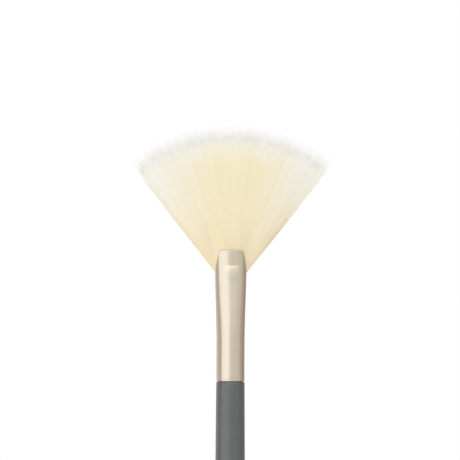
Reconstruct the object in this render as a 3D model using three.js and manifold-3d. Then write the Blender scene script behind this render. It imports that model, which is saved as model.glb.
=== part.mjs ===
// A fan makeup brush: a turned handle, a metal ferrule with a notched oval mouth, and a fan of hair.
// Millimetres, +Z up along the handle, the hair at the top. The origin is the centre of the tail face,
// and the flat front of the fan faces -Y.
import * as THREE from 'three';
import { mergeVertices } from 'three/addons/utils/BufferGeometryUtils.js';
import Module from 'manifold-3d';

const wasm = await Module();
wasm.setup();

// Handle
const handleLength = 118;
const shoulderDiameter = 7.1;
const shoulderEaseWidth = 0.25;
const shoulderEaseHeight = 0.9;
const bellyDiameter = 7.6;
const bellyHeight = 60;
const tailDiameter = 5;
const tailFaceDiameter = 3;
const tailRounding = 1.8;
const grooveCount = 3;
const grooveDepth = 0.5;
const grooveWidth = 1.2;
const grooveLand = 1.4;
const tenonChamfer = 0.5;

// Ferrule
const ferruleLength = 32.75;
const ferruleDiameter = 7;
const ferruleWall = 0.35;
const rimFillet = 0.12;
const mouthWidth = 7.85;
const mouthDepth = 5.6;
const pressDepth = 0.2;
const pressHeight = 3.85;
const pressShoulder = 3.5;
const notchWidth = 3.5;
const notchVeeDepth = 7;
const notchBottomRadius = 0.25;
const lipCornerRadius = 0.5;

// Hair
const exposedHair = 29.25;
const fanSpread = 75;
const fanApexDepth = 10.65;
const hairThickness = 3.6;
const tipThickness = 1.8;
const tipRounding = 1;
const faceLockCount = 9;
const coreLockCount = 10;
const faceSpreadTrim = 2.5;
const coreShare = 1 / 3;

// Roots of the hair
const plugLength = 8;
const pocketDepth = 5;
const bindingWidth = 2.4;
const bindingThickness = 0.4;

// Clearances
const seamGap = 0.1;
const tenonClearance = 0.15;
const glueClearance = 0.06;
const hairClearance = 0.3;
const bindingClearance = 0.08;
const lockGap = 0.2;
const flexGap = 0.3;
const flexMargin = 0.2;

// Number of flat facets that stand for a round surface
const handleFacets = 40;
const ferruleFacets = 48;

// Places that follow from the sizes
const ferruleRadius = ferruleDiameter / 2;
const boreRadius = ferruleRadius - ferruleWall;
const tenonRadius = boreRadius - tenonClearance;
const rimHeight = handleLength;
const lipHeight = rimHeight + ferruleLength;
const groovePitch = grooveWidth + grooveLand;
const tenonTop = rimHeight + grooveCount * groovePitch + grooveLand;
const flattenStart = tenonTop;
const pressEdge = lipHeight - pressHeight;
const flattenEnd = pressEdge;
const lipHalfDepth = mouthDepth / 2 - pressDepth;
const plugBottom = tenonTop + hairClearance;
const plugTop = plugBottom + plugLength;
const pocketFloor = plugTop - pocketDepth;
const apexHeight = lipHeight - fanApexDepth;
const fanRadius = fanApexDepth + exposedHair;
const hairHalf = hairThickness / 2;
const flexRadius = hairHalf + flexMargin;
const troughRadius = flexRadius + flexGap;
const flexHeight = lipHeight + troughRadius;
const notchSlope = Math.atan2(notchWidth / 2, notchVeeDepth);
const notchPoint = lipHeight - notchVeeDepth;

// How far inside the ferrule's outer face each inner surface lies
const knotInset = ferruleWall + bindingThickness + bindingClearance + hairClearance;
const bindingInnerInset = knotInset - bindingClearance;
const bindingOuterInset = bindingInnerInset - bindingThickness;
const plugInset = ferruleWall + glueClearance;
const pocketInset = knotInset - hairClearance;

const lacquer = new THREE.MeshStandardMaterial({ color: '#6b6d6c', roughness: 0.6, metalness: 0 });
const champagne = new THREE.MeshStandardMaterial({ color: '#d8c9ac', roughness: 0.35, metalness: 1 });
const adhesive = new THREE.MeshStandardMaterial({ color: '#c9b48a', roughness: 0.4, metalness: 0 });
const thread = new THREE.MeshStandardMaterial({ color: '#e9e4d8', roughness: 0.9, metalness: 0 });
const hair = new THREE.MeshStandardMaterial({ color: '#f2e4c4', roughness: 0.7, metalness: 0 });

const brush = new THREE.Group();
const fan = new THREE.Group();
fan.position.z = apexHeight;
brush.add(fan);

function addMesh(name, geometry, material, parent) {
  const mesh = new THREE.Mesh(geometry, material.clone());
  mesh.name = name;
  parent.add(mesh);
}

// A profile of (radius, height) points turned about the Z axis.
function turned(points, facets) {
  const profile = points.map(([radius, height]) => new THREE.Vector2(radius, height));
  return new THREE.LatheGeometry(profile, facets).rotateX(Math.PI / 2);
}

function solidFrom(geometry) {
  const bare = geometry.clone();
  bare.deleteAttribute('normal');
  bare.deleteAttribute('uv');
  const merged = mergeVertices(bare, 1e-5);
  return new wasm.Manifold(new wasm.Mesh({
    numProp: 3,
    vertProperties: new Float32Array(merged.attributes.position.array),
    triVerts: new Uint32Array(merged.index.array),
  }));
}

function geometryFrom(solid) {
  const mesh = solid.getMesh();
  const geometry = new THREE.BufferGeometry();
  geometry.setAttribute('position', new THREE.BufferAttribute(mesh.vertProperties, 3));
  geometry.setIndex(new THREE.BufferAttribute(mesh.triVerts, 1));
  geometry.computeVertexNormals();
  return geometry;
}

// An outline drawn from the side, in (y, z), made a prism along X.
function sidePrism(shape, length, arcSteps) {
  const geometry = new THREE.ExtrudeGeometry(shape, {
    depth: length,
    bevelEnabled: false,
    curveSegments: arcSteps,
  });
  geometry.translate(0, 0, -length / 2);
  const sideways = new THREE.Matrix4().makeBasis(
    new THREE.Vector3(0, 1, 0),
    new THREE.Vector3(0, 0, 1),
    new THREE.Vector3(1, 0, 0),
  );
  return geometry.applyMatrix4(sideways);
}

// An outline drawn from the front, in (x, z), made a prism along Y.
function frontPrism(shape, depth, arcSteps) {
  const geometry = new THREE.ExtrudeGeometry(shape, {
    depth,
    bevelEnabled: false,
    curveSegments: arcSteps,
  });
  return geometry.translate(0, 0, -depth / 2).rotateX(Math.PI / 2);
}

// Share of the way from the round tube to the oval mouth, at a height.
function flattening(height) {
  return THREE.MathUtils.smoothstep(height, flattenStart, flattenEnd);
}

// Half width and half depth of the ferrule's outer face at a height. The lips are pressed in a little, front
// and rear, with a shoulder that rounds off below the edge of the press.
function ovalAt(height) {
  const share = flattening(height);
  const halfWidth = THREE.MathUtils.lerp(ferruleRadius, mouthWidth / 2, share);
  const halfDepth = THREE.MathUtils.lerp(ferruleRadius, mouthDepth / 2, share);
  const below = Math.max(0, pressEdge - height);
  const pressed = 1 - Math.min(1, below / pressShoulder);
  return { halfWidth, halfDepth: halfDepth - pressDepth * pressed ** 3 };
}

// Presses a turned shape with the ferrule's round radius into the oval at each height.
function toOval(geometry) {
  const position = geometry.attributes.position;
  for (let i = 0; i < position.count; i += 1) {
    const radius = Math.hypot(position.getX(i), position.getY(i));
    if (radius > 0) {
      const { halfWidth, halfDepth } = ovalAt(position.getZ(i));
      const inset = ferruleRadius - radius;
      position.setX(i, position.getX(i) * (halfWidth - inset) / radius);
      position.setY(i, position.getY(i) * (halfDepth - inset) / radius);
    }
  }
  return geometry;
}

function evenSteps(from, to, count) {
  return Array.from({ length: count + 1 }, (_, i) => THREE.MathUtils.lerp(from, to, i / count));
}

function buildHandle() {
  const tail = tailDiameter / 2;
  const belly = bellyDiameter / 2;
  const shoulder = shoulderDiameter / 2;
  const seat = handleLength - seamGap;
  const neck = seat - shoulderEaseHeight;
  const outline = new THREE.Path();
  outline.moveTo(tailFaceDiameter / 2, 0);
  outline.quadraticCurveTo(tail, 0, tail, tailRounding);
  outline.quadraticCurveTo(belly, (tailRounding + bellyHeight) / 2, belly, bellyHeight);
  outline.quadraticCurveTo(belly, (bellyHeight + neck) / 2, shoulder, neck);
  outline.quadraticCurveTo(shoulder, seat, shoulder - shoulderEaseWidth, seat);
  const points = [[0, 0]];
  for (const point of outline.getPoints(8)) {
    points.push([point.x, point.y]);
  }
  points.push([tenonRadius, seat]);
  for (const middle of grooveHeights()) {
    points.push([tenonRadius, middle - grooveWidth / 2]);
    points.push([tenonRadius - grooveDepth, middle - grooveWidth / 2]);
    points.push([tenonRadius - grooveDepth, middle + grooveWidth / 2]);
    points.push([tenonRadius, middle + grooveWidth / 2]);
  }
  points.push([tenonRadius, tenonTop - tenonChamfer]);
  points.push([tenonRadius - tenonChamfer, tenonTop]);
  points.push([0, tenonTop]);
  addMesh('handle', turned(points, handleFacets), lacquer, brush);
}

function grooveHeights() {
  const first = rimHeight + grooveLand + grooveWidth / 2;
  return Array.from({ length: grooveCount }, (_, i) => first + i * groovePitch);
}

function buildTenonGlue() {
  const inner = tenonRadius - grooveDepth + glueClearance;
  const outer = boreRadius - glueClearance;
  const half = grooveWidth / 2 - glueClearance;
  grooveHeights().forEach((middle, i) => {
    const ring = [
      [inner, middle - half],
      [outer, middle - half],
      [outer, middle + half],
      [inner, middle + half],
      [inner, middle - half],
    ];
    addMesh(`tenon_glue_${i + 1}`, turned(ring, ferruleFacets), adhesive, brush);
  });
}

// The notch cut through both side walls of the mouth: a V with a round bottom and eased top corners.
function notchShape() {
  const above = lipHeight + ferruleDiameter;
  const centre = notchPoint + notchBottomRadius / Math.sin(notchSlope);
  const ease = lipHeight - lipCornerRadius;
  const easeHalf = (ease - notchPoint) * Math.tan(notchSlope);
  const topHalf = notchWidth / 2;
  const shape = new THREE.Shape();
  shape.moveTo(-topHalf - lipCornerRadius, above);
  shape.lineTo(-topHalf - lipCornerRadius, lipHeight);
  shape.quadraticCurveTo(-topHalf, lipHeight, -easeHalf, ease);
  shape.absarc(0, centre, notchBottomRadius, Math.PI + notchSlope, 2 * Math.PI - notchSlope, false);
  shape.lineTo(easeHalf, ease);
  shape.quadraticCurveTo(topHalf, lipHeight, topHalf + lipCornerRadius, lipHeight);
  shape.lineTo(topHalf + lipCornerRadius, above);
  return shape;
}

function buildFerrule() {
  const heights = [
    rimHeight + rimFillet,
    ...evenSteps(flattenStart, pressEdge - pressShoulder, 7),
    ...evenSteps(pressEdge - pressShoulder, pressEdge, 5).slice(1),
    lipHeight - rimFillet,
  ];
  const profile = [[boreRadius, rimHeight], [ferruleRadius - rimFillet, rimHeight]];
  for (const height of heights) {
    profile.push([ferruleRadius, height]);
  }
  profile.push([ferruleRadius - rimFillet, lipHeight]);
  profile.push([boreRadius, lipHeight]);
  for (const height of heights.toReversed().slice(0, -1)) {
    profile.push([boreRadius, height]);
  }
  profile.push([boreRadius, rimHeight]);
  const tube = solidFrom(toOval(turned(profile, ferruleFacets)));
  const notch = solidFrom(sidePrism(notchShape(), mouthWidth + ferruleDiameter, 6));
  addMesh('ferrule', geometryFrom(tube.subtract(notch)), champagne, brush);
}

function buildPlug() {
  const outer = ferruleRadius - plugInset;
  const pocket = ferruleRadius - pocketInset;
  const profile = [
    [0, plugBottom],
    ...evenSteps(plugBottom, plugTop, 4).map((height) => [outer, height]),
    ...evenSteps(plugTop, pocketFloor, 3).map((height) => [pocket, height]),
    [0, pocketFloor],
  ];
  addMesh('epoxy_plug', toOval(turned(profile, ferruleFacets)), adhesive, brush);
}

function buildBinding() {
  const bottom = plugTop + hairClearance;
  const inner = ferruleRadius - bindingInnerInset;
  const outer = ferruleRadius - bindingOuterInset;
  const profile = [
    ...evenSteps(bottom, bottom + bindingWidth, 2).map((height) => [outer, height]),
    ...evenSteps(bottom + bindingWidth, bottom, 2).map((height) => [inner, height]),
    [outer, bottom],
  ];
  addMesh('knot_binding', toOval(turned(profile, ferruleFacets)), thread, brush);
}

// The held hair: the tied bundle inside the ferrule, with wings out through the notches and a round trough
// on top that the bending hair turns in.
function buildTuftRoot() {
  const knotRadius = ferruleRadius - knotInset;
  const knotBottom = pocketFloor + hairClearance;
  const knotProfile = [
    [0, knotBottom],
    ...evenSteps(knotBottom, flattenEnd, 6).map((height) => [knotRadius, height]),
    [knotRadius, lipHeight],
    [0, lipHeight],
  ];
  const knot = solidFrom(toOval(turned(knotProfile, ferruleFacets)));

  const wingBottom = notchPoint + hairClearance / Math.sin(notchSlope);
  const notchHalf = notchWidth / 2 - hairClearance / Math.cos(notchSlope);
  const lipHalf = Math.min(notchHalf, lipHalfDepth - knotInset, hairHalf);
  const section = new THREE.Shape();
  section.moveTo(0, wingBottom);
  section.lineTo(lipHalf, lipHeight);
  section.lineTo(hairHalf, flexHeight);
  section.lineTo(-hairHalf, flexHeight);
  section.lineTo(-lipHalf, lipHeight);

  const spread = Math.tan(THREE.MathUtils.degToRad(fanSpread / 2));
  const outline = new THREE.Shape();
  outline.moveTo(0, apexHeight);
  outline.lineTo((flexHeight - apexHeight) * spread, flexHeight);
  outline.lineTo(-(flexHeight - apexHeight) * spread, flexHeight);

  const fanWidth = 2 * fanRadius;
  const wings = solidFrom(sidePrism(section, fanWidth, 1))
    .intersect(solidFrom(frontPrism(outline, 2 * hairThickness, 1)));

  const troughShape = new THREE.Shape();
  troughShape.absarc(0, flexHeight, troughRadius, 0, 2 * Math.PI, false);
  const trough = solidFrom(sidePrism(troughShape, 2 * fanWidth, 12));
  addMesh('tuft_root', geometryFrom(knot.add(wings).subtract(trough)), hair, brush);
}

// One wedge of the fan seen from the front, straight up from the apex, with an eased tip.
function wedgeShape(half) {
  const start = fanApexDepth * Math.cos(half);
  const ease = fanRadius - tipRounding;
  const startHalf = start * Math.tan(half) - lockGap / 2;
  const easeHalf = ease * Math.tan(half) - lockGap / 2;
  const shape = new THREE.Shape();
  shape.moveTo(-startHalf, start);
  shape.lineTo(startHalf, start);
  shape.lineTo(easeHalf, ease);
  shape.quadraticCurveTo(easeHalf, fanRadius, 0, fanRadius);
  shape.quadraticCurveTo(-easeHalf, fanRadius, -easeHalf, ease);
  return shape;
}

// One layer of the fan seen from the side, above the apex, between two shares of the hair's half thickness:
// a round foot about the flex axis, thinning towards the tips.
function layerShape(from, to) {
  const flexReach = flexHeight - apexHeight;
  const past = fanRadius + tipRounding;
  const tipHalf = tipThickness / 2;
  const halfAt = (reach) => THREE.MathUtils.mapLinear(reach, flexReach, fanRadius, hairHalf, tipHalf);
  const innerGap = (share) => (Math.abs(share) < 1 ? lockGap / 2 : 0);
  const near = (reach) => from * halfAt(reach) + innerGap(from);
  const far = (reach) => to * halfAt(reach) - innerGap(to);
  const nearAngle = -Math.acos(near(flexReach) / flexRadius);
  const farAngle = -Math.acos(far(flexReach) / flexRadius);
  const shape = new THREE.Shape();
  shape.absarc(0, flexReach, flexRadius, nearAngle, farAngle, false);
  shape.lineTo(far(past), past);
  shape.lineTo(near(past), past);
  return shape;
}

function buildLocks(layer, count, spread, from, to) {
  const half = THREE.MathUtils.degToRad(spread) / count / 2;
  const slab = solidFrom(sidePrism(layerShape(from, to), 2 * fanRadius, 4));
  for (let i = 0; i < count; i += 1) {
    const turn = (2 * i + 1 - count) * half;
    const wedge = frontPrism(wedgeShape(half), 2 * hairThickness, 3).rotateY(turn);
    addMesh(`${layer}_lock_${i + 1}`, geometryFrom(slab.intersect(solidFrom(wedge))), hair, fan);
  }
}

buildHandle();
buildTenonGlue();
buildFerrule();
buildPlug();
buildBinding();
buildTuftRoot();
buildLocks('front', faceLockCount, fanSpread - faceSpreadTrim, -1, -coreShare);
buildLocks('core', coreLockCount, fanSpread, -coreShare, coreShare);
buildLocks('rear', faceLockCount, fanSpread - faceSpreadTrim, coreShare, 1);

export default brush;
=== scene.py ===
"""Looks of a fan makeup brush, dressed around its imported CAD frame.

Metres, +Z up along the handle, hair at the top, the flat front of the fan towards -Y.
"""

import math

import bpy
import numpy as np
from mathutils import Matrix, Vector


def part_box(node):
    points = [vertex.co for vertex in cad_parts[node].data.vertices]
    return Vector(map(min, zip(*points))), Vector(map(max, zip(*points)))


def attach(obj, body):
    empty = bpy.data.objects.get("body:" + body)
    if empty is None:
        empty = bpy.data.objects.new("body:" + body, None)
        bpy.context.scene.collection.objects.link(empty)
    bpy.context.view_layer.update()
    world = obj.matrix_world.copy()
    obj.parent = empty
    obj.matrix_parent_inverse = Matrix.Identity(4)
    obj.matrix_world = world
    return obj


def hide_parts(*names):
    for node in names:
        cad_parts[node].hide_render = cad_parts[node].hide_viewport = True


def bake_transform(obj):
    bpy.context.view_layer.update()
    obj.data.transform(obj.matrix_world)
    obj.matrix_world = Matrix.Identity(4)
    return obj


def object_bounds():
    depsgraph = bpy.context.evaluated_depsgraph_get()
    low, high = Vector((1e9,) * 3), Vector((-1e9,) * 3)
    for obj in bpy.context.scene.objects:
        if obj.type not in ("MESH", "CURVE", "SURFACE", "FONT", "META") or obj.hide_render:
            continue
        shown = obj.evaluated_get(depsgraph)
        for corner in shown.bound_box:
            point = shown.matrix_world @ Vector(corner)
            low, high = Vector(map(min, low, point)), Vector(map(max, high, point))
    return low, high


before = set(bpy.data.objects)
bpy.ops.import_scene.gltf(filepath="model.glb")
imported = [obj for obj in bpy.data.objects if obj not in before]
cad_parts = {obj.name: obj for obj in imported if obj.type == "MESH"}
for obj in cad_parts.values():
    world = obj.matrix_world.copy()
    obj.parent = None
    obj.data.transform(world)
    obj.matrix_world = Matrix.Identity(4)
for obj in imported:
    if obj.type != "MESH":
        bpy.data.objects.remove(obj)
cad_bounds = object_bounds()

MM = 0.001
SEED = 41
rng = np.random.default_rng(SEED)

# Places read from the frame
handle_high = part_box("handle")[1]
ferrule_low, ferrule_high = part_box("ferrule")
RIM = ferrule_low[2]
LIP = ferrule_high[2]
FAN_TOP = cad_bounds[1][2]
BELLY_RADIUS = handle_high[0]
TENON_TOP = handle_high[2]
MOUTH_HALF_WIDTH = ferrule_high[0]
FERRULE_RADIUS = ferrule_high[1]

# Handle
BELLY_HEIGHT = 60 * MM
TAIL_RADIUS = 2.5 * MM
TAIL_FACE_RADIUS = 1.5 * MM
TAIL_ROUNDING = 1.8 * MM
SHOULDER_RADIUS = 3.55 * MM
SHOULDER_EASE_WIDTH = 0.25 * MM
SHOULDER_EASE_HEIGHT = 0.9 * MM
SEAM_GAP = 0.1 * MM
TENON_RADIUS = 3 * MM
TENON_CHAMFER = 0.5 * MM
GROOVE_NODES = ("tenon_glue_1", "tenon_glue_2", "tenon_glue_3")
GROOVE_DEPTH = 0.5 * MM
GROOVE_EASE = 0.06 * MM
HANDLE_FACETS = 128
TAIL_STEPS = 12
TAPER_STEPS = 30
EASE_STEPS = 8
HANDLE_SHARP_ANGLE = math.radians(35)

# Ferrule
WALL = 0.35 * MM
RIM_FILLET = 0.08 * MM
MOUTH_HALF_DEPTH = 2.8 * MM
PRESS_HEIGHT = 3.85 * MM
PRESS_EDGE = LIP - PRESS_HEIGHT
PRESS_SHOULDER = 3.5 * MM
PRESS_DEPTH = 0.2 * MM
LIP_HALF_DEPTH = MOUTH_HALF_DEPTH - PRESS_DEPTH
NOTCH_HALF_WIDTH = 1.75 * MM
NOTCH_VEE_DEPTH = 7 * MM
NOTCH_BOTTOM_RADIUS = 0.25 * MM
NOTCH_POINT = LIP - NOTCH_VEE_DEPTH
NOTCH_SLOPE = math.atan2(NOTCH_HALF_WIDTH, NOTCH_VEE_DEPTH)
LIP_CORNER = 0.5 * MM
FERRULE_FACETS = 320
SOCKET_ROWS = 8
FLARE_ROWS = 32
SHOULDER_ROWS = 24
PRESS_ROWS = 24
INNER_ROW_STRIDE = 3
RIM_STEPS = 4
LIP_STEPS = 8
NOTCH_STEPS = 8
CORNER_STEPS = 12
FERRULE_SHARP_ANGLE = math.radians(50)

# Fan: strands spread from one point below the lips, in a front, a core and a rear layer of locks
APEX_DEPTH = 10.65 * MM
APEX = LIP - APEX_DEPTH
FAN_RADIUS = FAN_TOP - APEX
LEFT_EDGE = math.radians(-37.5)
RIGHT_EDGE = math.radians(38)
FACE_TRIM = math.radians(0.4)
FACE_LOCKS = 9
CORE_LOCKS = 10
FACE_STRANDS = 900
CORE_STRANDS = 400

# Lengths as shares of the fan's radius; the strands that reach past the others fade the tips out
FRONT_LENGTH = 0.945
CORE_LENGTH = 0.92
REAR_LENGTH = 0.93
LENGTH_SCATTER = 0.03
LEFT_CORNER_TRIM = 0.02
FRONT_REACHING = 0.36
REAR_REACHING = 0.25
LONGEST = 1.075
FADE_SHAPE = 4
FADE_SCALE = 0.018

# Single strands; with four sides, the faces at their ends are quads like the others
HAIR_START = 5 * MM
STRAND_STEPS = 11
STRAND_SIDES = 4
STRAND_RADIUS = 0.047 * MM
TIP_RADIUS = 0.007 * MM
THINNEST = 0.8
THICKEST = 1.15
TAPER_START = 0.93
REACHING_TAPER_START = 0.84
DRIFT_SCATTER = math.radians(0.45)
BOW_SCATTER = math.radians(0.3)
STRAY_LIMIT = math.radians(0.5)
SPIN_SCATTER = math.radians(12)
FLUFF_SCATTER = 0.025 * MM
STRAND_MAP = "OFBake"
STRAND_MAP_WIDTH = 0.012

# Half thickness of the hair, from the mouth to the tips; layers are shares of it
MOUTH_HALF_HAIR = 2 * MM
LEAST_HALF_HAIR = 0.02 * MM
BODY_HALF_HAIR = 1.9 * MM
TIP_HALF_HAIR = 0.1 * MM
SPREAD_LENGTH = 10 * MM
THINNING_START = 14 * MM
EDGE_THINNING = 0.92
EDGE_POWER = 8
CORE_LAYER = 1 / 3
FACE_CROWDING = 6

# Strands whose angle has a larger sine leave through the notches, the others over the lips
NOTCH_EXIT_SINE = 0.33
NOTCH_HAIR_GAP = 0.08 * MM
LEAST_SLOPE = 1e-3
EXIT_HALVINGS = 12

# Held hair, from the tied knot to just above the lips
ROOT_STRANDS = 420
ROOT_STEPS = 10
ROOT_REACH = 12.5 * MM
ROOT_SPREAD = 0.97
ROOT_LAYER = 0.9
KNOT_RADIUS = 1.8 * MM
KNOT_LIFT = 0.1 * MM
KNOT_HEIGHT = 5 * MM
KNOT_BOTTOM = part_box("tuft_root")[0][2] + KNOT_LIFT
KNOT_TOP = KNOT_BOTTOM + KNOT_HEIGHT

# Camera: the photo's frame is 460 pixels square at a quarter of a millimetre per pixel,
# and the brush is turned a little about its own axis in it
PIXELS = 460
PIXEL_SIZE = 0.25 * MM
AXIS_PIXEL_X = 230.9
TOP_PIXEL_Y = 133
CAMERA_DISTANCE = 1.5
CAMERA_AZIMUTH = math.radians(-5)
CAMERA_ROLL = math.radians(-0.2)
SENSOR = 36

# Studio
AMBIENT = 0.51
SOFTBOX_DISTANCE = 0.8
CARD_DISTANCE = 0.5
CARD_HEIGHT = 0.8
FLOOR_RADIUS = 0.46
FLOOR_CORNERS = 96
FLOOR_FADE = (0.12, 0.45)
DIFFUSE_BOUNCES = 12
WHITE = (1, 1, 1)
BLACK = (0, 0, 0)
COOL_WHITE = (0.96, 0.97, 1.1)
CARD_PALE = (1, 0.85, 0.775)
CARD_MIDDLE = (0.95, 0.81, 0.735)
CARD_DEEP = (0.76, 0.645, 0.59)
CARD_DARK = (0.5, 0.42, 0.38)
CARD_WHITE = (1, 0.96, 0.93)


def smoothstep(value, low, high):
    """Share from 0 at the low end to 1 at the high end, eased at both."""
    share = np.clip((value - low) / (high - low), 0, 1)
    return share * share * (3 - 2 * share)


def quadratic(start, control, end, steps):
    """Points of a quadratic curve, both ends included."""
    share = np.linspace(0, 1, steps + 1)[:, None]
    start, control, end = (np.array(p) for p in (start, control, end))
    return (1 - share) ** 2 * start + 2 * share * (1 - share) * control + share**2 * end


def mesh_object(name, points, faces, sharp_angle):
    """A smooth-shaded object with sharp edges where faces meet at more than an angle."""
    mesh = bpy.data.meshes.new(name)
    mesh.from_pydata([tuple(p) for p in points], [], [tuple(f) for f in faces])
    mesh.polygons.foreach_set("use_smooth", [True] * len(mesh.polygons))
    mesh.set_sharp_from_angle(angle=sharp_angle)
    mesh.update()
    piece = bpy.data.objects.new(name, mesh)
    bpy.context.collection.objects.link(piece)
    return piece


def ring_faces(row, next_row, count):
    """Quads between two rings of points, facing out for rings that go up anticlockwise."""
    faces = []
    for i in range(count):
        j = (i + 1) % count
        faces.append((row + i, row + j, next_row + j, next_row + i))
    return faces


# Materials


def new_material(name, color, roughness, metallic=0.0):
    """A material with its nodes, its links and its shader."""
    material = bpy.data.materials.new(name)
    material.use_nodes = True
    shader = material.node_tree.nodes["Principled BSDF"]
    shader.inputs["Base Color"].default_value = (*color, 1)
    shader.inputs["Roughness"].default_value = roughness
    shader.inputs["Metallic"].default_value = metallic
    return material, material.node_tree.nodes, material.node_tree.links, shader


def object_place(nodes):
    return nodes.new("ShaderNodeTexCoord").outputs["Object"]


def color_ramp(nodes, links, value, stops):
    """A ramp of colours over a value."""
    ramp = nodes.new("ShaderNodeValToRGB")
    while len(ramp.color_ramp.elements) < len(stops):
        ramp.color_ramp.elements.new(0.5)
    for element, (place, color) in zip(ramp.color_ramp.elements, stops):
        element.position = place
        element.color = (*color, 1)
    links.new(value, ramp.inputs["Fac"])
    return ramp


def map_range(nodes, links, value, source, target):
    """A value taken from one range to another and held at the ends."""
    mapped = nodes.new("ShaderNodeMapRange")
    mapped.inputs["From Min"].default_value = source[0]
    mapped.inputs["From Max"].default_value = source[1]
    mapped.inputs["To Min"].default_value = target[0]
    mapped.inputs["To Max"].default_value = target[1]
    links.new(value, mapped.inputs["Value"])
    return mapped


def mix_color(nodes, links, blend, factor, first):
    """A colour mix; without a factor it applies in full."""
    mix = nodes.new("ShaderNodeMix")
    mix.data_type = "RGBA"
    mix.blend_type = blend
    mix.inputs["Factor"].default_value = 1
    if factor is not None:
        links.new(factor, mix.inputs["Factor"])
    links.new(first, mix.inputs["A"])
    return mix


def noise_at(nodes, links, coordinate, scales, detail):
    """Noise with a scale for each axis of the coordinate."""
    mapping = nodes.new("ShaderNodeMapping")
    mapping.inputs["Scale"].default_value = scales
    noise = nodes.new("ShaderNodeTexNoise")
    noise.inputs["Scale"].default_value = 1
    noise.inputs["Detail"].default_value = detail
    links.new(coordinate, mapping.inputs["Vector"])
    links.new(mapping.outputs["Vector"], noise.inputs["Vector"])
    return noise.outputs["Fac"]


def add_bump(nodes, links, shader, height, strength, distance):
    bump = nodes.new("ShaderNodeBump")
    bump.inputs["Strength"].default_value = strength
    bump.inputs["Distance"].default_value = distance
    links.new(height, bump.inputs["Height"])
    links.new(bump.outputs["Normal"], shader.inputs["Normal"])


def lacquer_material():
    """Matte grey lacquer: a fine spray texture, with a little mottling and uneven gloss."""
    material, nodes, links, shader = new_material("grey_lacquer", (0.1, 0.104, 0.1), roughness=0.28)
    shader.inputs["Specular IOR Level"].default_value = 0.65
    place = object_place(nodes)
    mottle = noise_at(nodes, links, place, scales=(300, 300, 90), detail=3)
    tones = [(0.3, (0.094, 0.098, 0.094)), (0.7, (0.106, 0.11, 0.106))]
    shade = color_ramp(nodes, links, mottle, tones)
    links.new(shade.outputs["Color"], shader.inputs["Base Color"])
    gloss = map_range(nodes, links, mottle, source=(0, 1), target=(0.24, 0.32))
    links.new(gloss.outputs["Result"], shader.inputs["Roughness"])
    spray = noise_at(nodes, links, place, scales=(5200, 5200, 5200), detail=2)
    add_bump(nodes, links, shader, spray, strength=0.06, distance=0.02 * MM)
    return material


def champagne_material():
    """Champagne anodised aluminium: satin, with fine marks that run round the tube."""
    material, nodes, links, shader = new_material(
        "champagne_metal", (0.53, 0.475, 0.367), roughness=0.33, metallic=1.0
    )
    shader.inputs["Coat Weight"].default_value = 0.3
    shader.inputs["Coat Roughness"].default_value = 0.35
    brushing = noise_at(nodes, links, object_place(nodes), scales=(160, 160, 9000), detail=3)
    tones = [(0.25, (0.515, 0.462, 0.355)), (0.75, (0.545, 0.488, 0.379))]
    shade = color_ramp(nodes, links, brushing, tones)
    links.new(shade.outputs["Color"], shader.inputs["Base Color"])
    satin = map_range(nodes, links, brushing, source=(0, 1), target=(0.27, 0.34))
    links.new(satin.outputs["Result"], shader.inputs["Roughness"])
    add_bump(nodes, links, shader, brushing, strength=0.06, distance=0.01 * MM)
    return material


def adhesive_material():
    """Cured amber adhesive with small bubbles."""
    material, nodes, links, shader = new_material("amber_adhesive", (0.55, 0.42, 0.22), roughness=0.25)
    cloud = noise_at(nodes, links, object_place(nodes), scales=(900, 900, 900), detail=2)
    tones = [(0.3, (0.48, 0.36, 0.18)), (0.7, (0.62, 0.49, 0.28))]
    shade = color_ramp(nodes, links, cloud, tones)
    links.new(shade.outputs["Color"], shader.inputs["Base Color"])
    add_bump(nodes, links, shader, cloud, strength=0.3, distance=0.05 * MM)
    return material


def thread_material():
    """Thread wound round the knot in close turns, with painted shade: darker in the grooves between the
    turns.
    """
    material, nodes, links, shader = new_material("wound_thread", (0.8, 0.76, 0.68), roughness=0.9)
    turns = nodes.new("ShaderNodeTexWave")
    turns.bands_direction = "Z"
    turns.inputs["Scale"].default_value = 800
    turns.inputs["Distortion"].default_value = 0.6
    links.new(object_place(nodes), turns.inputs["Vector"])
    height = turns.outputs["Fac"]
    # Painted shade: the colour darkens where the wave is low, in the grooves between the turns.
    tones = [(0.1, (0.55, 0.51, 0.44)), (0.6, (0.82, 0.78, 0.7))]
    shade = color_ramp(nodes, links, height, tones)
    links.new(shade.outputs["Color"], shader.inputs["Base Color"])
    add_bump(nodes, links, shader, height, strength=0.6, distance=0.1 * MM)
    return material


def pale_sides_and_painted_backlight(nodes, links, across, along):
    """How pale a strand is for its place across the fan: most at both sides, more towards the tips. This
    is partly the paler tips of the side hairs and partly painted light, standing in for the white that
    shines through the thin sides of the fan.
    """
    sides = color_ramp(nodes, links, across, [(0.0, WHITE), (0.42, BLACK), (0.6, BLACK), (1.0, WHITE)])
    sides.color_ramp.interpolation = "EASE"
    outward = map_range(nodes, links, along, source=(0.2, 0.9), target=(0, 1))
    pale = nodes.new("ShaderNodeMath")
    pale.operation = "MULTIPLY"
    links.new(sides.outputs["Color"], pale.inputs[0])
    links.new(outward.outputs["Result"], pale.inputs[1])
    return pale.outputs["Value"]


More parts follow.
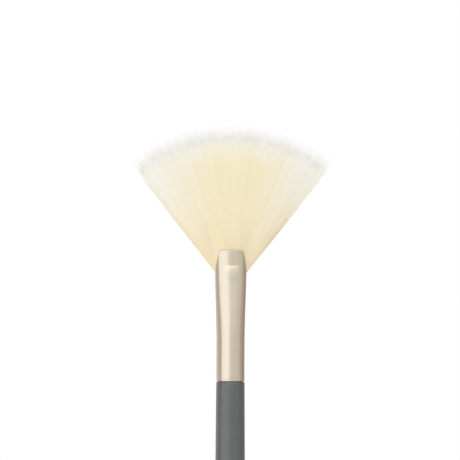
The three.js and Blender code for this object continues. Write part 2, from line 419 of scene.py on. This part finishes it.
def hair_material():
    """Cream filaments: paler towards the tips and the sides, with streaks from strand to strand; the
    paler sides are partly painted light that shines through the thin edges.
    """
    material, nodes, links, shader = new_material("cream_hair", (0.94, 0.85, 0.63), roughness=0.5)
    shader.inputs["Specular IOR Level"].default_value = 0.3
    strand_map = nodes.new("ShaderNodeUVMap")
    strand_map.uv_map = STRAND_MAP
    place = nodes.new("ShaderNodeSeparateXYZ")
    links.new(strand_map.outputs["UV"], place.inputs["Vector"])
    across = place.outputs["X"]
    along = place.outputs["Y"]
    cream = color_ramp(nodes, links, along, [
        (0.15, (0.96, 0.84, 0.575)),
        (0.5, (0.97, 0.875, 0.61)),
        (0.78, (0.965, 0.89, 0.625)),
        (0.88, (0.97, 0.92, 0.7)),
        (0.94, (0.985, 0.98, 0.94)),
        (1.0, (0.99, 0.99, 0.985)),
    ])
    # Partly painted light: the sides are lightened as if white light shone through the thin edge hairs.
    pale = pale_sides_and_painted_backlight(nodes, links, across, along)
    paler = mix_color(nodes, links, "LIGHTEN", pale, cream.outputs["Color"])
    paler.inputs["B"].default_value = (0.965, 0.945, 0.85, 1)
    streaks = noise_at(nodes, links, strand_map.outputs["UV"], scales=(70, 0.8, 1), detail=2)
    tint = color_ramp(nodes, links, streaks, [(0.3, (0.97, 0.955, 0.92)), (0.65, WHITE)])
    streaked = mix_color(nodes, links, "MULTIPLY", None, paler.outputs["Result"])
    links.new(tint.outputs["Color"], streaked.inputs["B"])
    links.new(streaked.outputs["Result"], shader.inputs["Base Color"])
    return material


# Handle


def handle_profile():
    """Radius and height of each ring, from the edge of the tail's flat to the end of the tenon."""
    seat = RIM - SEAM_GAP
    neck = seat - SHOULDER_EASE_HEIGHT
    curves = [
        ((TAIL_RADIUS, 0), (TAIL_RADIUS, TAIL_ROUNDING), TAIL_STEPS),
        ((BELLY_RADIUS, (TAIL_ROUNDING + BELLY_HEIGHT) / 2), (BELLY_RADIUS, BELLY_HEIGHT), TAPER_STEPS),
        ((BELLY_RADIUS, (BELLY_HEIGHT + neck) / 2), (SHOULDER_RADIUS, neck), TAPER_STEPS),
        ((SHOULDER_RADIUS, seat), (SHOULDER_RADIUS - SHOULDER_EASE_WIDTH, seat), EASE_STEPS),
    ]
    points = [(TAIL_FACE_RADIUS, 0)]
    for control, end, steps in curves:
        curve = quadratic(points[-1], control, end, steps)
        points += [tuple(p) for p in curve[1:]]
    points.append((TENON_RADIUS, seat))
    for node in GROOVE_NODES:
        low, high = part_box(node)
        points.append((TENON_RADIUS, low[2] - GROOVE_EASE))
        points.append((TENON_RADIUS - GROOVE_DEPTH, low[2] - GROOVE_EASE))
        points.append((TENON_RADIUS - GROOVE_DEPTH, high[2] + GROOVE_EASE))
        points.append((TENON_RADIUS, high[2] + GROOVE_EASE))
    points.append((TENON_RADIUS, TENON_TOP - TENON_CHAMFER))
    points.append((TENON_RADIUS - TENON_CHAMFER, TENON_TOP))
    return points


def build_handle(material):
    profile = handle_profile()
    turn = np.linspace(0, 2 * math.pi, HANDLE_FACETS, endpoint=False)
    points = []
    for radius, height in profile:
        points += [(radius * math.cos(a), radius * math.sin(a), height) for a in turn]
    faces = []
    for row in range(len(profile) - 1):
        faces += ring_faces(row * HANDLE_FACETS, (row + 1) * HANDLE_FACETS, HANDLE_FACETS)
    faces.append(tuple(reversed(range(HANDLE_FACETS))))
    last = (len(profile) - 1) * HANDLE_FACETS
    faces.append(tuple(range(last, last + HANDLE_FACETS)))
    piece = mesh_object("lacquered_handle", points, faces, HANDLE_SHARP_ANGLE)
    piece.data.materials.append(material)
    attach(piece, "brush")
    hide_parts("handle")


# Ferrule


def oval_at(height):
    """Half width and half depth of the ferrule's outer face at a height."""
    share = smoothstep(height, TENON_TOP, PRESS_EDGE)
    half_width = FERRULE_RADIUS + (MOUTH_HALF_WIDTH - FERRULE_RADIUS) * share
    half_depth = FERRULE_RADIUS + (MOUTH_HALF_DEPTH - FERRULE_RADIUS) * share
    above = 1 - np.clip((PRESS_EDGE - height) / PRESS_SHOULDER, 0, 1)
    return half_width, half_depth - PRESS_DEPTH * above**3


def mouth_edge(offset):
    """Height of the mouth's edge at an offset from the fan's plane: a notch inside, flat lips outside."""
    arc = np.linspace(0, math.pi / 2 - NOTCH_SLOPE, NOTCH_STEPS + 1)
    centre = NOTCH_POINT + NOTCH_BOTTOM_RADIUS / math.sin(NOTCH_SLOPE)
    bottom = np.stack([np.sin(arc), -np.cos(arc)], axis=1) * NOTCH_BOTTOM_RADIUS + (0, centre)
    ease = (NOTCH_HALF_WIDTH - LIP_CORNER * math.tan(NOTCH_SLOPE), LIP - LIP_CORNER)
    lip = (NOTCH_HALF_WIDTH + LIP_CORNER, LIP)
    corner = quadratic(ease, (NOTCH_HALF_WIDTH, LIP), lip, CORNER_STEPS)
    edge = np.concatenate([bottom, corner])
    return np.interp(offset, edge[:, 0], edge[:, 1])


def ferrule_ring(turn, height, inset):
    """A ring of points at heights round the ferrule, inset from its outer face."""
    half_width, half_depth = oval_at(height)
    x = np.cos(turn) * (half_width - inset)
    y = np.sin(turn) * (half_depth - inset)
    return np.stack([x, y, height], axis=1)


def ferrule_rows(full):
    """Heights of the rings of the outer face above the rim, as shares of the full height."""
    socket = TENON_TOP - RIM
    shoulder = PRESS_EDGE - PRESS_SHOULDER - RIM
    press = PRESS_EDGE - RIM
    return np.concatenate([
        np.linspace(RIM_FILLET, socket, SOCKET_ROWS),
        np.linspace(socket, shoulder, FLARE_ROWS)[1:],
        np.linspace(shoulder, press, SHOULDER_ROWS)[1:],
        np.linspace(press, full, PRESS_ROWS)[1:],
    ]) / full


def build_ferrule(material):
    """A tube of rings: up its outer face, over the rounded lips and down its inner face."""
    turn = np.linspace(0, 2 * math.pi, FERRULE_FACETS, endpoint=False)
    top = mouth_edge(np.abs(LIP_HALF_DEPTH * np.sin(turn))) - WALL / 2
    rows = ferrule_rows(LIP - WALL / 2 - RIM)
    rings = [ferrule_ring(turn, np.full_like(turn, RIM), RIM_FILLET)]
    for angle in np.linspace(0, math.pi / 2, RIM_STEPS + 1)[1:-1]:
        height = RIM + RIM_FILLET * (1 - math.cos(angle))
        inset = RIM_FILLET * (1 - math.sin(angle))
        rings.append(ferrule_ring(turn, np.full_like(turn, height), inset))
    for row in rows:
        rings.append(ferrule_ring(turn, RIM + (top - RIM) * row, 0))
    for angle in np.linspace(0, math.pi, LIP_STEPS + 1)[1:-1]:
        inset = WALL / 2 * (1 - math.cos(angle))
        rings.append(ferrule_ring(turn, top + WALL / 2 * math.sin(angle), inset))
    for row in rows[::-INNER_ROW_STRIDE]:
        rings.append(ferrule_ring(turn, RIM + (top - RIM) * row, WALL))
    rings.append(ferrule_ring(turn, np.full_like(turn, RIM), WALL))
    faces = []
    for row in range(len(rings)):
        next_row = (row + 1) % len(rings)
        faces += ring_faces(row * FERRULE_FACETS, next_row * FERRULE_FACETS, FERRULE_FACETS)
    piece = mesh_object("satin_ferrule", np.concatenate(rings), faces, FERRULE_SHARP_ANGLE)
    piece.data.materials.append(material)
    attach(piece, "brush")
    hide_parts("ferrule")


# Hair


def exit_half_hair(angle):
    """Widest offset from the fan's plane at which a strand clears the mouth, found by halving."""
    slope = np.maximum(np.abs(np.tan(angle)), LEAST_SLOPE)
    clear = np.full_like(angle, LEAST_HALF_HAIR)
    blocked = np.full_like(angle, MOUTH_HALF_HAIR)
    for _ in range(EXIT_HALVINGS):
        offset = (clear + blocked) / 2
        wall = (MOUTH_HALF_WIDTH - WALL) * np.sqrt(1 - (offset / (LIP_HALF_DEPTH - WALL)) ** 2)
        passes = APEX + wall / slope > mouth_edge(offset) + NOTCH_HAIR_GAP
        clear = np.where(passes, offset, clear)
        blocked = np.where(passes, blocked, offset)
    return clear


def fan_points(angle, layer, reach, share):
    """Points of each strand along the fan: strands by steps by XYZ."""
    count = len(angle)
    drift = rng.normal(0, DRIFT_SCATTER, count)[:, None]
    bow = rng.normal(0, BOW_SCATTER, count)[:, None]
    turn = angle[:, None] + drift * share**2 + bow * np.sin(math.pi * share)
    turn = np.clip(turn, LEFT_EDGE - STRAY_LIMIT, RIGHT_EDGE + STRAY_LIMIT)
    held = exit_half_hair(angle)[:, None]
    leave = (MOUTH_HALF_WIDTH / np.maximum(np.abs(np.sin(angle)), NOTCH_EXIT_SINE))[:, None]
    thinning = smoothstep(reach, THINNING_START, FAN_RADIUS)
    body = BODY_HALF_HAIR + (TIP_HALF_HAIR - BODY_HALF_HAIR) * thinning
    half = held + (body - held) * smoothstep(reach, leave, leave + SPREAD_LENGTH)
    edge = np.where(angle < 0, LEFT_EDGE, RIGHT_EDGE)
    rounded = 1 - EDGE_THINNING * np.clip(angle / edge, 0, 1) ** EDGE_POWER
    fluff = rng.normal(0, FLUFF_SCATTER, count)[:, None] * share**2
    y = layer[:, None] * rounded[:, None] * half + fluff
    return np.stack([reach * np.sin(turn), y, APEX + reach * np.cos(turn)], axis=2)


def tube_points(centres, radius):
    """Corners of tubes along the centre lines, each with a flat side that faces roughly to the front."""
    along = centres[:, -1] - centres[:, 0]
    along /= np.linalg.norm(along, axis=1)[:, None]
    side = np.cross((0, 1, 0), along)
    side /= np.linalg.norm(side, axis=1)[:, None]
    front = np.cross(along, side)
    spin = math.pi / STRAND_SIDES + rng.normal(0, SPIN_SCATTER, len(centres))
    spin = spin[:, None] + np.arange(STRAND_SIDES) * 2 * math.pi / STRAND_SIDES
    offset = np.cos(spin)[..., None] * side[:, None] + np.sin(spin)[..., None] * front[:, None]
    return centres[:, :, None] + radius[:, :, None, None] * offset[:, None]


def tube_quads(count, steps):
    """Quads of all tubes as numbers of points: their sides, then their feet, then their tips."""
    corner = np.arange(STRAND_SIDES)
    after = (corner + 1) % STRAND_SIDES
    foot = np.arange(count)[:, None] * steps * STRAND_SIDES
    tip = foot + (steps - 1) * STRAND_SIDES
    low = foot[:, :, None] + np.arange(steps - 1)[:, None] * STRAND_SIDES
    high = low + STRAND_SIDES
    sides = np.stack([low + corner, low + after, high + after, high + corner], axis=3)
    return np.concatenate([sides.reshape(-1, 4), foot + corner[::-1], tip + corner])


def tube_map(strand_u, share):
    """Places of the quads' corners in the map: a strand's place in the fan across, its length along."""
    shape = (len(strand_u), len(share) - 1, STRAND_SIDES)
    side_width = STRAND_MAP_WIDTH / STRAND_SIDES
    left = np.broadcast_to(strand_u[:, None, None] + np.arange(STRAND_SIDES) * side_width, shape)
    right = left + side_width
    base = np.broadcast_to(share[:-1, None], shape)
    tip = np.broadcast_to(share[1:, None], shape)
    across = np.stack([left, right, right, left], axis=3).ravel()
    upward = np.stack([base, base, tip, tip], axis=3).ravel()
    end_across = (strand_u[:, None] + np.array([0, 1, 1, 0]) * side_width).ravel()
    end_upward = np.tile(np.array([0, 0, 1, 1]) * side_width, len(strand_u))
    across = np.concatenate([across, end_across, end_across])
    upward = np.concatenate([upward, end_upward, 1 - end_upward])
    return np.stack([across, upward], axis=1)


def strand_mesh(name, centres, radius, share, strand_u):
    """An object of four-sided tubes along the centre lines of strands."""
    points = tube_points(centres, radius)
    quads = tube_quads(*centres.shape[:2]).astype(np.int32)
    places = tube_map(strand_u, share)
    mesh = bpy.data.meshes.new(name)
    mesh.vertices.add(points.size // 3)
    mesh.vertices.foreach_set("co", points.astype(np.float32).ravel())
    mesh.loops.add(quads.size)
    mesh.loops.foreach_set("vertex_index", quads.ravel())
    mesh.polygons.add(len(quads))
    starts = np.arange(0, quads.size, quads.shape[1]).astype(np.int32)
    mesh.polygons.foreach_set("loop_start", starts)
    mesh.polygons.foreach_set("use_smooth", np.zeros(len(quads), dtype=bool))
    mesh.update(calc_edges=True)
    uv_map = mesh.uv_layers.new(name=STRAND_MAP)
    uv_map.uv.foreach_set("vector", places.astype(np.float32).ravel())
    piece = bpy.data.objects.new(name, mesh)
    bpy.context.collection.objects.link(piece)
    return piece


def strand_places(angle):
    """Each strand's place across the fan, from 0 at the left edge towards 1 at the right."""
    share = (angle - LEFT_EDGE) / (RIGHT_EDGE - LEFT_EDGE)
    return np.clip(share, 0, 1) * (1 - STRAND_MAP_WIDTH)


def strand_lengths(angle, length, reaching):
    """Full reach of each strand: most end near the layer's length, the reaching ones past it."""
    count = len(angle)
    corner = 1 - LEFT_CORNER_TRIM * np.clip(angle / LEFT_EDGE, 0, 1) ** EDGE_POWER
    most = rng.normal(length, LENGTH_SCATTER, count)
    few = LONGEST - rng.gamma(FADE_SHAPE, FADE_SCALE, count)
    return FAN_RADIUS * corner * np.where(reaching, few, most)


def build_lock(layer_name, index, count, span, depths, lengths, material):
    """One lock of loose strands; those that reach the tips lie on the face of the fan."""
    first, last = span
    outer, inner, crowding = depths
    length, reaching_share = lengths
    angle = first + (last - first) * (np.arange(count) + rng.uniform(0, 1, count)) / count
    reaching = rng.uniform(0, 1, count) < reaching_share
    layer = outer + (inner - outer) * rng.uniform(0, 1, count) ** crowding
    layer = np.where(reaching, outer, layer)
    share = np.linspace(0, 1, STRAND_STEPS + 1)
    reach = HAIR_START + (strand_lengths(angle, length, reaching)[:, None] - HAIR_START) * share
    taper_start = np.where(reaching, REACHING_TAPER_START, TAPER_START)[:, None]
    radius = STRAND_RADIUS + (TIP_RADIUS - STRAND_RADIUS) * smoothstep(share, taper_start, 1)
    radius = radius * rng.uniform(THINNEST, THICKEST, count)[:, None]
    centres = fan_points(angle, layer, reach, share)
    name = f"{layer_name}_hair_{index}"
    piece = strand_mesh(name, centres, radius, share, strand_places(angle))
    piece.data.materials.append(material)
    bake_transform(piece)
    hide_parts(f"{layer_name}_lock_{index}")


def build_roots(material):
    """The held hair: from the tied knot inside the ferrule to just above the lips."""
    count = ROOT_STRANDS
    angle = rng.uniform(LEFT_EDGE * ROOT_SPREAD, RIGHT_EDGE * ROOT_SPREAD, count)
    layer = rng.uniform(-ROOT_LAYER, ROOT_LAYER, count)
    share = np.linspace(0, 1, ROOT_STEPS + 1)
    height = KNOT_BOTTOM + (APEX + ROOT_REACH * np.cos(angle)[:, None] - KNOT_BOTTOM) * share
    reach = np.maximum(height - APEX, 0) / np.cos(angle)[:, None]
    spread = fan_points(angle, layer, reach, np.zeros_like(share))
    aside = angle / RIGHT_EDGE
    knot_x = KNOT_RADIUS * aside
    knot_y = KNOT_RADIUS * layer * np.sqrt(np.clip(1 - aside**2, 0, 1))
    knot = np.stack([knot_x, knot_y], axis=1)[:, None, :]
    opened = smoothstep(height, KNOT_TOP, NOTCH_POINT)[..., None]
    across = knot * (1 - opened) + spread[..., :2] * opened
    centres = np.concatenate([across, height[..., None]], axis=2)
    radius = np.full((count, ROOT_STEPS + 1), STRAND_RADIUS)
    root_share = share * ROOT_REACH / FAN_RADIUS
    piece = strand_mesh("root_hair", centres, radius, root_share, strand_places(angle))
    piece.data.materials.append(material)
    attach(piece, "brush")
    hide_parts("tuft_root")


def build_hair(material):
    """The locks layer by layer, each layer with its depths and lengths, then the held hair."""
    front_depths = (-1, -CORE_LAYER, FACE_CROWDING)
    core_depths = (-CORE_LAYER, CORE_LAYER, 1)
    rear_depths = (1, CORE_LAYER, FACE_CROWDING)
    layers = [
        ("front", FACE_LOCKS, FACE_STRANDS, FACE_TRIM, front_depths, (FRONT_LENGTH, FRONT_REACHING)),
        ("core", CORE_LOCKS, CORE_STRANDS, 0, core_depths, (CORE_LENGTH, 0)),
        ("rear", FACE_LOCKS, FACE_STRANDS, FACE_TRIM, rear_depths, (REAR_LENGTH, REAR_REACHING)),
    ]
    for name, locks, strands, trim, depths, lengths in layers:
        edges = np.linspace(LEFT_EDGE + trim, RIGHT_EDGE - trim, locks + 1)
        for index in range(locks):
            span = (edges[index], edges[index + 1])
            build_lock(name, index + 1, strands, span, depths, lengths, material)
    build_roots(material)


# Inner nodes, which keep their CAD shapes


def dress_inner_nodes():
    adhesive = adhesive_material()
    for node in (*GROOVE_NODES, "epoxy_plug"):
        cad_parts[node].material_slots[0].material = adhesive
    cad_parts["knot_binding"].material_slots[0].material = thread_material()


# Studio


def build_floor():
    """A pale round floor that fades out towards its edge."""
    material, nodes, links, shader = new_material("pale_floor", (0.95, 0.95, 0.95), roughness=0.8)
    distance = nodes.new("ShaderNodeVectorMath")
    distance.operation = "LENGTH"
    links.new(object_place(nodes), distance.inputs[0])
    fade = map_range(nodes, links, distance.outputs["Value"], source=FLOOR_FADE, target=(1, 0))
    fade.interpolation_type = "SMOOTHSTEP"
    links.new(fade.outputs["Result"], shader.inputs["Alpha"])
    bpy.ops.mesh.primitive_circle_add(vertices=FLOOR_CORNERS, radius=FLOOR_RADIUS, fill_type="NGON")
    floor = bpy.context.object
    floor.name = "floor"
    floor.data.materials.append(material)


def build_world():
    """White for the camera and for reflections, a dimmer white for the light on the brush."""
    world = bpy.data.worlds.new("studio")
    bpy.context.scene.world = world
    world.use_nodes = True
    nodes = world.node_tree.nodes
    links = world.node_tree.links
    ambient = nodes["Background"]
    ambient.inputs["Color"].default_value = (*WHITE, 1)
    ambient.inputs["Strength"].default_value = AMBIENT
    white = nodes.new("ShaderNodeBackground")
    white.inputs["Color"].default_value = (*WHITE, 1)
    white.inputs["Strength"].default_value = 1
    path = nodes.new("ShaderNodeLightPath")
    seen = path.outputs["Is Camera Ray"]
    for ray in ("Is Glossy Ray", "Is Transmission Ray"):
        either = nodes.new("ShaderNodeMath")
        either.operation = "MAXIMUM"
        links.new(seen, either.inputs[0])
        links.new(path.outputs[ray], either.inputs[1])
        seen = either.outputs["Value"]
    mix = nodes.new("ShaderNodeMixShader")
    links.new(seen, mix.inputs["Fac"])
    links.new(ambient.outputs["Background"], mix.inputs[1])
    links.new(white.outputs["Background"], mix.inputs[2])
    links.new(mix.outputs["Shader"], nodes["World Output"].inputs["Surface"])


def direction(azimuth, elevation):
    """Unit vector from the brush, by degrees to the right of the camera and degrees up."""
    turn = math.radians(azimuth) + CAMERA_AZIMUTH
    rise = math.radians(elevation)
    return Vector((math.sin(turn) * math.cos(rise), -math.cos(turn) * math.cos(rise), math.sin(rise)))


def face_lips(thing, azimuth, elevation, distance):
    """Set a lamp or card at a distance from the ferrule's lips and turn it towards them."""
    target = Vector((0, 0, LIP))
    thing.location = target + direction(azimuth, elevation) * distance
    thing.rotation_euler = (target - thing.location).to_track_quat("-Z", "Y").to_euler()


def add_softbox(name, azimuth, elevation, size, color, radiance):
    """A rectangular lamp, turned to the lips, that the camera doesn't see."""
    width, height = size
    light = bpy.data.lights.new(name, "AREA")
    light.shape = "RECTANGLE"
    light.size = width
    light.size_y = height
    light.color = color
    light.energy = radiance * math.pi * width * height
    lamp = bpy.data.objects.new(name, light)
    bpy.context.collection.objects.link(lamp)
    face_lips(lamp, azimuth, elevation, SOFTBOX_DISTANCE)
    lamp.visible_camera = False


def add_side_card(name, azimuth, width, front, back):
    """A card beside the set that only reflections see, shaded from its front edge to its back edge."""
    material, nodes, links, shader = new_material(name, front, roughness=1.0)
    shader.inputs["Specular IOR Level"].default_value = 0
    place = nodes.new("ShaderNodeTexCoord")
    across = nodes.new("ShaderNodeSeparateXYZ")
    links.new(place.outputs["Generated"], across.inputs["Vector"])
    ends = (back, front) if azimuth < 0 else (front, back)
    shade = color_ramp(nodes, links, across.outputs["X"], [(0, ends[0]), (1, ends[1])])
    links.new(shade.outputs["Color"], shader.inputs["Base Color"])
    bpy.ops.mesh.primitive_plane_add(size=1)
    card = bpy.context.object
    card.name = name
    card.scale = (width, CARD_HEIGHT, 1)
    face_lips(card, azimuth, 0, CARD_DISTANCE)
    card.data.materials.append(material)
    card.visible_camera = False
    card.visible_diffuse = False
    card.visible_shadow = False
    card.visible_transmission = False


def build_camera():
    """A level camera, placed so that the brush lies in the frame as it does in the photo."""
    field = PIXELS * PIXEL_SIZE
    data = bpy.data.cameras.new("camera")
    data.sensor_width = SENSOR
    data.lens = SENSOR * CAMERA_DISTANCE / field
    camera = bpy.data.objects.new("camera", data)
    bpy.context.collection.objects.link(camera)
    centre_x = (PIXELS / 2 - AXIS_PIXEL_X) * PIXEL_SIZE
    centre_z = FAN_TOP - (PIXELS / 2 - TOP_PIXEL_Y) * PIXEL_SIZE
    right = Vector((math.cos(CAMERA_AZIMUTH), math.sin(CAMERA_AZIMUTH), 0))
    camera.location = direction(0, 0) * CAMERA_DISTANCE + right * centre_x + Vector((0, 0, centre_z))
    camera.rotation_euler = (math.pi / 2, CAMERA_ROLL, CAMERA_AZIMUTH)
    bpy.context.scene.camera = camera


build_camera()
build_world()
add_softbox("key_softbox", azimuth=-41, elevation=5, size=(1.04, 1.5), color=COOL_WHITE, radiance=0.79)
add_softbox("top_softbox", azimuth=14, elevation=30, size=(0.95, 0.56), color=WHITE, radiance=0.91)
add_softbox("back_softbox", azimuth=180, elevation=15, size=(1.2, 1.0), color=WHITE, radiance=1.05)
add_side_card("left_card", azimuth=-98, width=0.27, front=CARD_PALE, back=CARD_PALE)
add_side_card("right_card", azimuth=100, width=0.36, front=CARD_MIDDLE, back=CARD_DEEP)
add_side_card("left_back_card", azimuth=-154, width=0.24, front=CARD_PALE, back=CARD_WHITE)
add_side_card("right_back_card", azimuth=146, width=0.5, front=CARD_DEEP, back=CARD_DARK)
build_floor()
build_handle(lacquer_material())
build_ferrule(champagne_material())
build_hair(hair_material())
dress_inner_nodes()

bpy.context.scene.view_settings.view_transform = "Standard"
# Pale hair hands light on from strand to strand many times
bpy.context.scene.cycles.diffuse_bounces = DIFFUSE_BOUNCES
